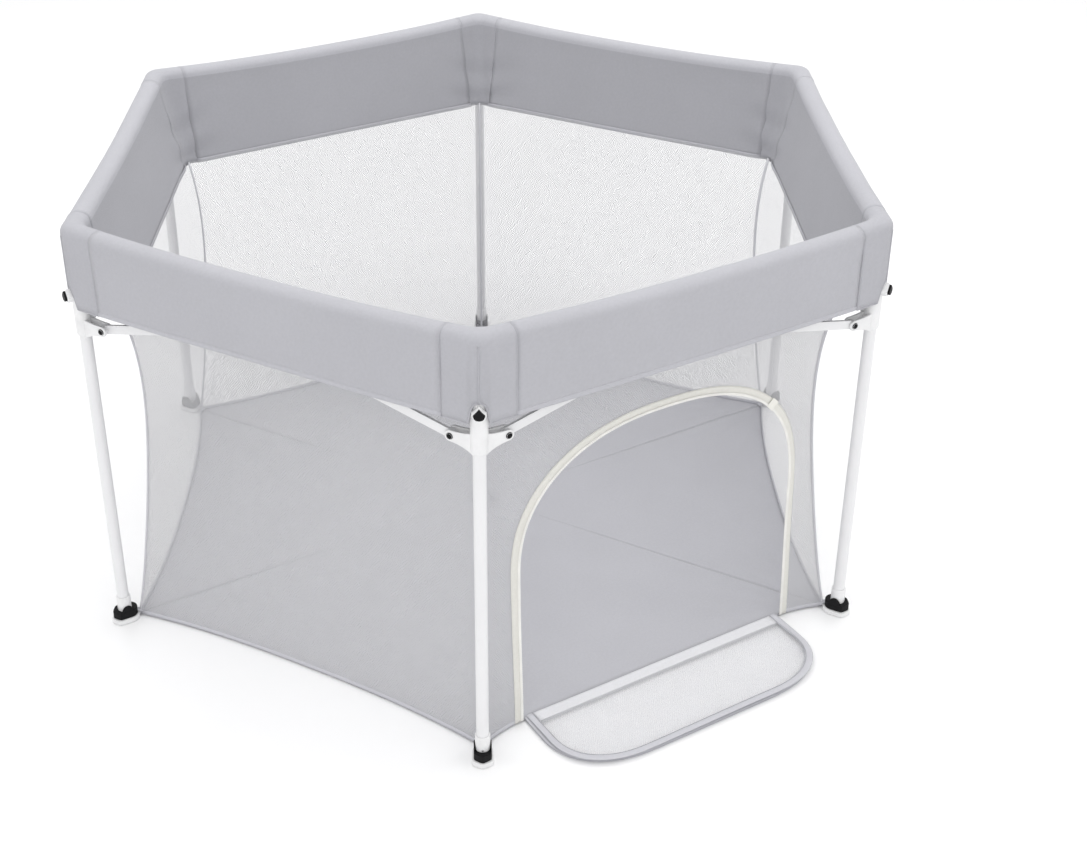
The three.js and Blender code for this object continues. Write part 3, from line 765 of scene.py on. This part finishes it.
def zip_tape(name, from_grow, to_grow, material, thickness, lift, nodes=()):
    count = 150
    rows = []
    for grow in np.linspace(from_grow, to_grow, 5):
        x, z = arch(grow, count)
        rows.append(np.stack([x, zip_lift(x, z) - lift, z], -1))
    grid = np.stack(rows)
    length = np.cumsum(np.linalg.norm(np.diff(grid[0], axis=0, prepend=grid[0][:1]), axis=1))
    across = np.linspace(from_grow, to_grow, 5)[:, None] * np.ones(count)
    uv = np.stack([np.broadcast_to(length, across.shape), across], -1)
    tape = sheet_piece(name, grid, uv, side_matrix(1), material, thickness)
    dress(tape, "leg_1", nodes)
    gather(tape)


def zip_teeth():
    """The moulded teeth along the zip's inner edge."""
    pitch, size = 3.2 * MM, np.array([1.0, 0.8, 1.9]) * MM
    x, z = arch(1.5 * MM, 400)
    path = np.stack([x, zip_lift(x, z) - 1.4 * MM, z], -1)
    along = np.cumsum(np.linalg.norm(np.diff(path, axis=0, prepend=path[:1]), axis=1))
    places = np.arange(pitch, along[-1] - pitch, pitch)
    middle = np.stack([np.interp(places, along, path[:, i]) for i in range(3)], -1)
    ahead = np.stack([np.interp(places + pitch / 2, along, path[:, i]) for i in range(3)], -1) - middle
    ahead /= np.linalg.norm(ahead, axis=1)[:, None]
    outward = np.cross(ahead, (0, 1, 0))
    corners = np.array([(a, b, c) for a in (-1, 1) for b in (-1, 1) for c in (-1, 1)]) * size
    points, faces = [], []
    cube = [(0, 1, 3, 2), (4, 6, 7, 5), (0, 4, 5, 1), (2, 3, 7, 6), (0, 2, 6, 4), (1, 5, 7, 3)]
    for i, (place, step, out) in enumerate(zip(middle, ahead, outward)):
        axes = np.stack([step, (0, 1, 0), out])
        points.append(place + corners @ axes)
        faces += [tuple(8 * i + j for j in face) for face in cube]
    points = to_row(np.vstack(points), side_matrix(1))
    teeth = mesh_piece("zip_teeth", points, faces, ZIP_COIL, smooth=False)
    face_out(teeth)
    dress(teeth, "leg_1", side=1)


def zip_pull():
    """The slider on the zip's foot, with its hanging tab."""
    x = float(PULL_LOW[0] + PULL_HIGH[0]) / 2
    z = float(PULL_LOW[2])
    y = float(PULL_HIGH[1]) + APOTHEM
    height = float(PULL_HIGH[2]) - z
    body = [(x - 3.6 * MM, z + height * 0.5), (x + 3.6 * MM, z + height * 0.5),
            (x + 4.4 * MM, z + height * 0.95), (x - 4.4 * MM, z + height * 0.95)]
    tab = [(x - 2.2 * MM, z + height * 0.62), *arc((x, z + 4 * MM), 3.6 * MM, 180, 360, 10),
           (x + 2.2 * MM, z + height * 0.62)]
    parts = [prism("zip_slider", body, 1, y - 1.6 * MM, y + 0.2 * MM, side_matrix(1), WHITE_PLASTIC),
             prism("zip_pull_tab", tab, 1, y - 2.9 * MM, y - 1.8 * MM, side_matrix(1), WHITE_PLASTIC)]
    for part in parts:
        dress(part, "zipper_pull", ["zipper_pull"], side=1)


def zip_stop():
    """The white tab sewn over the zip near the top of the arch."""
    x, z = arch(ZIP_WIDTH / 2, 200)
    at = int(200 * 0.63)
    ahead = np.array([x[at + 1] - x[at], z[at + 1] - z[at]])
    ahead /= np.linalg.norm(ahead)
    out = np.array([-ahead[1], ahead[0]])
    corners = [(-1, -1), (1, -1), (1, 1), (-1, 1)]
    middle = np.array([x[at], z[at]])
    outline = [tuple(middle + a * 7 * MM * ahead + b * 8 * MM * out) for a, b in corners]
    y = float(zip_lift(x[at], z[at]))
    tab = prism("zip_top_tab", outline, 1, y - 2.6 * MM, y - 1.9 * MM, side_matrix(1), ZIP_CLOTH, 0.2 * MM)
    dress(tab, "leg_1", side=1)


for k in range(1, SIDES + 1):
    if k > 1:
        mesh_wall(k)
        bottom_binding(k, -float(wall_end(0)), float(wall_end(0)), f"wall_foot_binding_{k}")
    corner_tape(k)
    corner_strap(k)
door_wall()
for name, way in (("left", -1), ("right", 1)):
    bottom_binding(1, *sorted((way * (DOOR_HALF + ZIP_WIDTH / 2), way * float(wall_end(0)))),
                   f"door_foot_binding_{name}")
zip_tape("zip_tape", 1 * MM, ZIP_WIDTH, ZIP_CLOTH, 0.8 * MM, 0, ["zipper_track"])
zip_tape("zip_tooth_cord", 0, 3.4 * MM, ZIP_COIL, 1.2 * MM, 0.7 * MM)
zip_teeth()
zip_pull()
zip_stop()


# ---- floor ----

FLOOR_CLOTH_T = 1.4 * MM
FLOOR_LEVEL = 1.4 * MM
PATCH_APOTHEM = 0.012
HEM_GAP = 1.0 * MM  # the floor ends this far outside the middle of the walls


def floor_crease(x, y):
    """Low creases that run out of each corner of the floor, from row-frame places."""
    height = np.zeros(np.shape(x))
    for k in range(1, SIDES + 1):
        turn = leg_angle(k)
        dx, dy = x - LEG_R * math.cos(turn), y - LEG_R * math.sin(turn)
        away = np.hypot(dx, dy)
        across = dx * math.sin(turn) - dy * math.cos(turn)
        inward = -(dx * math.cos(turn) + dy * math.sin(turn))
        lean = np.arctan2(across, inward)
        fans = np.sin(lean * 13 + k * 1.7 + 2 * np.sin(away * 9)) + 0.5 * np.sin(lean * 29 + k)
        height += fans * smoothstep(0.03, 0.12, away) * np.exp(-away / 0.16)
    return height


def floor_height(x, y):
    waves = 0.5 * ripple(x, y, 71, 0.6)
    return FLOOR_LEVEL + MM * np.clip(1.6 + 2.4 * floor_crease(x, y) + waves, 0, 5)


def floor_gore(k):
    across = np.linspace(-1, 1, 65)[None]
    # the gore's ends meet the next gores' on the corner lines
    edge_x = across * (wall_end(0.0) + TAN_HALF * HEM_GAP)
    edge_y = wall_y(edge_x, 0 * edge_x, k == 1) - HEM_GAP
    first = PATCH_APOTHEM / APOTHEM
    s = (first + (1 - first) * np.linspace(0, 1, 52) ** 0.8)[:, None]
    x, y = s * edge_x, APOTHEM + s * (edge_y - APOTHEM)
    place = to_row(np.stack([x, y, 0 * x], -1).reshape(-1, 3), side_matrix(k)).reshape(*x.shape, 3)
    height = floor_height(place[..., 0], place[..., 1])
    hem = smoothstep(0.97, 1.0, s)
    z = height * (1 - hem) + (FLOOR_LEVEL + 1.0 * MM) * hem
    grid = np.stack([x, y, z], -1)[::-1]
    uv = place[::-1, :, :2]
    piece = sheet_piece(f"floor_{k}", grid, uv, side_matrix(k), FLOOR_CLOTH, FLOOR_CLOTH_T)
    dress(piece, f"floor_gore_{k}", [f"floor_gore_{k}"])
    gather(piece)


def floor_middle():
    """The six-sided patch over the point where the gores meet."""
    rings = [(0.4, 1.2), (0.8, 1.1), (1.0, 0.6)]  # share of the patch's size, and millimetres of rise
    turn = np.arange(36) * 2 * math.pi / 36
    flat = PATCH_APOTHEM * 1.25 / np.cos((turn + STEP / 2) % STEP - STEP / 2)
    points = []
    for share, rise in rings:
        x, y = share * flat * np.cos(turn - math.pi / 2), share * flat * np.sin(turn - math.pi / 2)
        z = floor_height(x, y) + rise * MM
        points.append(np.stack([x, y, z], -1))
    points = np.vstack([*points, [[0, 0, float(floor_height(0.0, 0.0)) + 1.2 * MM]]])
    faces = grid_faces(3, 36, closed=True)
    faces += [(108, (j + 1) % 36, j) for j in range(36)]
    patch = mesh_piece("floor_middle_patch", points, faces, FLOOR_CLOTH, points[:, :2])
    face_out(patch)
    thicken(patch, 0.8 * MM)
    dress(patch, "floor_gore_1")
    gather(patch)


for k in range(1, SIDES + 1):
    floor_gore(k)
floor_middle()


# ---- door flap, folded in three on the ground ----

LAYERS = ("lower", "middle", "upper")
FLAP_BINDING = 11 * MM
FLAP_ROUND = 84 * MM  # corners at the flap's outer fold
SILL_STRIP = 20 * MM


def flap_edge(layer, inset, count=70):
    """A layer's free edge, as x and the distance out from the sill, from the left end to the right."""
    low, high = box_of(f"door_flap_{LAYERS[layer]}")
    half = float(high[0]) - inset
    depth = float(high[1] - low[1]) - inset
    corner = (FLAP_ROUND if layer == 2 else FLAP_ROUND * 1.15) - inset * 0.5
    turn = np.linspace(0, math.pi / 2, count // 4)
    full = 2.3
    cx = half - corner * 1.35 + corner * 1.35 * np.sin(turn[::-1]) ** (2 / full)
    cy = depth - corner + corner * np.cos(turn[::-1]) ** (2 / full)
    side = np.linspace(0, depth - corner, 8, endpoint=False)
    bottom = np.linspace(1, -1, count // 3 + 2)[1:-1] * (half - corner * 1.35)
    x = np.concatenate([np.full(side.shape, half), cx, bottom, -cx[::-1], np.full(side.shape, -half)])
    y = np.concatenate([side, cy, np.full(bottom.shape, depth), cy[::-1], side[::-1]])
    return -x, y


def flap_place(layer, x, out):
    """Points on a layer from x and the distance out from the sill, with a slight lift and waves."""
    low, high = box_of(f"door_flap_{LAYERS[layer]}")
    sill = float(high[1]) + APOTHEM
    level = float(low[2] + high[2]) / 2
    wave = 0.45 * MM * ripple(x, out, 90, 1.1) * (0.3 + layer * 0.6)
    if layer == 2:
        wave = wave + 2.2 * MM * smoothstep(0.02, 0.06, out) * (0.5 + 0.5 * ripple(x, out, 93, 0.8))
    return np.stack([x, sill - out, level + wave + 0 * x], -1)


def flap_layer(layer):
    name = LAYERS[layer]
    edge_x, edge_y = flap_edge(layer, FLAP_BINDING * 0.5)
    t = np.linspace(0, 1, 22)[:, None]
    x, out = edge_x * np.ones(t.shape), edge_y * t
    grid = flap_place(layer, x, out)
    net = sheet_piece(f"flap_{name}_net", grid, grid[..., :2], side_matrix(1), FLAP_NET, 0)
    dress(net, f"door_flap_{name}", [f"door_flap_{name}"])
    gather(net)
    flap_binding(layer)
    flap_strip(layer)


def flap_binding(layer):
    """The grey tape folded over the free edge, and on the upper layer its line of stitching."""
    name = LAYERS[layer]
    x, out = flap_edge(layer, FLAP_BINDING * 0.5)
    path = flap_place(layer, x, out)
    thin = 0.16 if layer == 2 else 0.12
    path = to_row(path, side_matrix(1))
    tape = sweep(f"flap_{name}_binding", path, FLAP_BINDING / 2, BINDING, 10, flat=thin)
    dress(tape, f"door_flap_{name}", side=1)
    if layer == 2:
        x, out = flap_edge(layer, FLAP_BINDING * 0.86)
        path = flap_place(layer, x, out) + np.array([0, 0, 0.85 * MM])
        seam = sweep("flap_upper_stitching", to_row(path, side_matrix(1)), 0.45 * MM, THREAD, 6)
        dress(seam, f"door_flap_{name}", side=1)


def flap_strip(layer):
    """The doubled strip of cloth along a layer's straight edge."""
    name = LAYERS[layer]
    half = float(box_of(f"door_flap_{name}")[1][0]) - FLAP_BINDING
    x = np.linspace(-half, half, 50)[None]
    out = np.linspace(0.5 * MM, SILL_STRIP, 7)[:, None]
    x, out = x * np.ones(out.shape), out * np.ones(x.shape)
    grid = flap_place(layer, x, out) + np.array([0, 0, 0.45 * MM])
    piece = sheet_piece(f"flap_{name}_strip", grid, grid[..., :2], side_matrix(1), STRIP_CLOTH, 0.35 * MM)
    dress(piece, f"door_flap_{name}")
    gather(piece)


for layer in range(3):
    flap_layer(layer)


# ---- legs, feet and sliders ----

PIVOT = 38 * MM  # leg axis to each ear pivot, along the side
SLIDER_PIVOT = float(SLIDER_LOW[2]) + 15 * MM
BODY_R = 11.6 * MM  # slider's barrel
EAR_WALL = 3.4 * MM
BUTTON_HALF = 7 * MM  # half the lock button's width
FOOT_PLAN = (12.5 * MM, 19 * MM, 19 * MM, 8 * MM)  # half-width, reach in, reach out and bow of the socket
FOOT_MARGIN = 2.5 * MM  # sole beyond the socket
EAR_ANGLES = [way * (math.pi - (math.pi - STEP) / 2) for way in (1, -1)]


def leg_tube(k):
    low, high = box_of("leg_tube_3")
    bottom, top, wall, lip = float(low[2]), float(high[2]), 1.2 * MM, 0.3 * MM
    profile = [
        (TUBE_R - wall, bottom), (TUBE_R - lip, bottom), (TUBE_R, bottom + lip),
        (TUBE_R, 0.2), (TUBE_R, 0.4), (TUBE_R, top - lip),
        (TUBE_R - lip, top), (TUBE_R - wall, top), (TUBE_R - wall, bottom),
    ]
    tube = lathe(f"tube_{k}", profile, leg_matrix(k), POWDER_COAT, 44)
    dress(tube, f"leg_{k}", [f"leg_tube_{k}"])


def foot_outline(margin, half_width, back, front, bow):
    """A foot's plan: a round inner end and a bowed outer end."""
    half = half_width + margin
    inner, tip = -back - margin, front + margin
    points = arc((inner + half, 0), half, 90, 270, 20)
    points += bezier((tip - bow, -half), (tip - bow * 0.35, -half * 0.55), (tip, 0), 8)
    points += bezier((tip, 0), (tip - bow * 0.35, half * 0.55), (tip - bow, half), 8)[1:]
    return points


def foot(k):
    m = leg_matrix(k)
    sole_top, socket_top = 8 * MM, FOOT_TOP
    sole_plan, socket_plan = foot_outline(FOOT_MARGIN, *FOOT_PLAN), foot_outline(0, *FOOT_PLAN)
    sole = prism(f"foot_sole_{k}", sole_plan, 2, 0, sole_top, m, WHITE_PLASTIC, 1.6 * MM)
    rim = socket_top - 5 * MM
    socket = prism(f"foot_socket_{k}", socket_plan, 2, sole_top, rim, m, BLACK_PLASTIC, 1.2 * MM)
    r, low = TUBE_R + 1.9 * MM, socket_top - 6 * MM
    bore = TUBE_R + 0.1 * MM
    cup = [
        (bore, low), (r - 3 * MM, low - 2.2 * MM), (r - 1.2 * MM, low - 1.4 * MM), (r, low + 1.5 * MM),
        (r, low + 24 * MM), (r - 0.5 * MM, low + 25 * MM), (bore, low + 25.5 * MM), (bore, low),
    ]
    ferrule = lathe(f"foot_ferrule_{k}", cup, m, WHITE_PLASTIC, 40)
    head = [(0, 0), (1.9 * MM, 0), (1.9 * MM, 0.5 * MM), (1.2 * MM, 0.9 * MM), (0, 0.9 * MM)]
    place = m @ Matrix.Translation((r - 0.4 * MM, 0, low + 4 * MM)) @ Matrix.Rotation(math.pi / 2, 4, "Y")
    screw = lathe(f"foot_screw_{k}", head, place, STEEL, 16)
    horns = foot_horns(k, m, r, socket_top)
    for part in (sole, socket, ferrule, screw, *horns):
        dress(part, f"leg_{k}", [f"foot_{k}"])


def foot_horns(k, matrix, inner, socket_top):
    """The two prongs of the socket that grip the ferrule's sides."""
    horns = []
    for side, way in (("left", 1), ("right", -1)):
        low, high = socket_top - 6 * MM, socket_top + 5 * MM
        front = bezier((8 * MM, low + 3 * MM), (6 * MM, high - 2 * MM), (1 * MM, high), 5)
        back = bezier((-3 * MM, high), (-8 * MM, high - 2 * MM), (-10 * MM, low + 3 * MM), 5)
        outline = [(-10 * MM, low), (9 * MM, low), *front, *back]
        near, far = sorted((way * (inner + 0.1 * MM), way * 12.4 * MM))
        horns.append(prism(f"foot_{side}_horn_{k}", outline, 1, near, far, matrix, BLACK_PLASTIC, 0.7 * MM))
    return horns


def ear_outline(pivot_z):
    """A slider's ear: a hollow-curved gusset from the body out to a round end about the pivot."""
    r = 8 * MM
    tip = PIVOT - 2 * MM
    low = bezier((2 * MM, pivot_z - 22 * MM), (14 * MM, pivot_z - 10.5 * MM), (tip, pivot_z - r), 10)
    end = arc((PIVOT, pivot_z), r, -85, 85, 12)
    tip = PIVOT - 1 * MM
    high = bezier((tip, pivot_z + r), (18 * MM, pivot_z + 8 * MM), (2 * MM, pivot_z + 13 * MM), 10)
    return low + end + high


def slider(k):
    m = leg_matrix(k)
    low, high = float(SLIDER_LOW[2]), float(SLIDER_HIGH[2])
    bore = TUBE_R + 0.6 * MM
    body = [(bore, low), (BODY_R - 1.2 * MM, low), (BODY_R, low + 2.5 * MM), (BODY_R, low + 40 * MM),
            (BODY_R, high - 2 * MM), (BODY_R - 0.8 * MM, high), (bore, high), (bore, low)]
    barrel = lathe(f"slider_barrel_{k}", body, m, WHITE_PLASTIC, 44)
    pocket = prism("button_pocket", button_outline(1.0 * MM), 0, TUBE_R, BODY_R + 4 * MM, m, WHITE_PLASTIC)
    cut_out(barrel, pocket)
    parts = [barrel]
    ear = ear_outline(SLIDER_PIVOT)
    for side, angle in zip(("left", "right"), EAR_ANGLES):
        turned = m @ Matrix.Rotation(angle, 4, "Z")
        for face, at in (("outer", 4.6 * MM), ("inner", -8.0 * MM)):
            name = f"slider_{side}_{face}_ear_{k}"
            parts.append(prism(name, ear, 1, at, at + EAR_WALL, turned, WHITE_PLASTIC, 0.9 * MM))
    parts.append(button_ring(k, m))
    for part in parts:
        dress(part, f"slider_{k}", [f"slider_{k}"])
    slider_rivets(k, m)


def button_outline(grow):
    low, high = float(BUTTON_LOW[2]) - grow, float(BUTTON_HIGH[2]) + grow
    half = BUTTON_HALF + grow
    right = bezier((0, low), (half * 1.05, low), (half, low + half), 8)
    right += bezier((half, low + half), (half * 0.62, high - 0.42 * (high - low)), (0, high), 6)[1:]
    return right + [(-x, z) for x, z in right[-2:0:-1]]


def button_ring(k, matrix):
    """The raised collar round the lock button."""
    outer, inner = button_outline(2.4 * MM), button_outline(0.4 * MM)
    count = len(outer)
    near, far = 9.8 * MM, 20 * MM
    rings = [[(x, y, z) for y, z in outline] for outline, x in
             ((inner, near), (outer, near), (outer, far - 1 * MM), (inner, far))]
    points = np.array([p for ring in rings for p in ring])
    faces = grid_faces(4, count, closed=True)
    faces += [(3 * count + j, 3 * count + (j + 1) % count, (j + 1) % count, j) for j in range(count)]
    ring = mesh_piece(f"slider_button_collar_{k}", to_row(points, matrix), faces, WHITE_PLASTIC)
    face_out(ring)
    soften(ring, 0.5 * MM)
    return ring


def slider_rivets(k, matrix):
    """The black rivet heads on both faces of the ears."""
    dome = [
        (0, 0), (4.7 * MM, 0), (4.7 * MM, 0.8 * MM),
        (3.6 * MM, 1.7 * MM), (1.8 * MM, 2.2 * MM), (0, 2.3 * MM),
    ]
    for side, angle in zip(("left", "right"), EAR_ANGLES):
        for face, way in (("outer", 1), ("inner", -1)):
            pivot = (PIVOT, way * 8.05 * MM, SLIDER_PIVOT)
            out = Matrix.Rotation(angle, 4, "Z") @ Matrix.Translation(pivot)
            place = matrix @ out @ Matrix.Rotation(-way * math.pi / 2, 4, "X")
            cap = lathe(f"slider_{side}_{face}_rivet_{k}", dome, place, BLACK_PLASTIC, 24)
            dress(cap, f"slider_{k}")


def finish_node(name, material, bevel):
    """Gives a CAD piece that stays its material and softened edges."""
    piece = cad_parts[name]
    piece.data.materials.clear()
    piece.data.materials.append(material)
    soften(piece, bevel)


for k in range(1, SIDES + 1):
    leg_tube(k)
    foot(k)
    slider(k)
    finish_node(f"lock_button_{k}", BLACK_PLASTIC, 1.1 * MM)
    finish_node(f"top_hub_{k}", WHITE_PLASTIC, 0.7 * MM)
    for bar in ("outer", "inner"):
        finish_node(f"{bar}_bar_{k}", POWDER_COAT, 0.6 * MM)
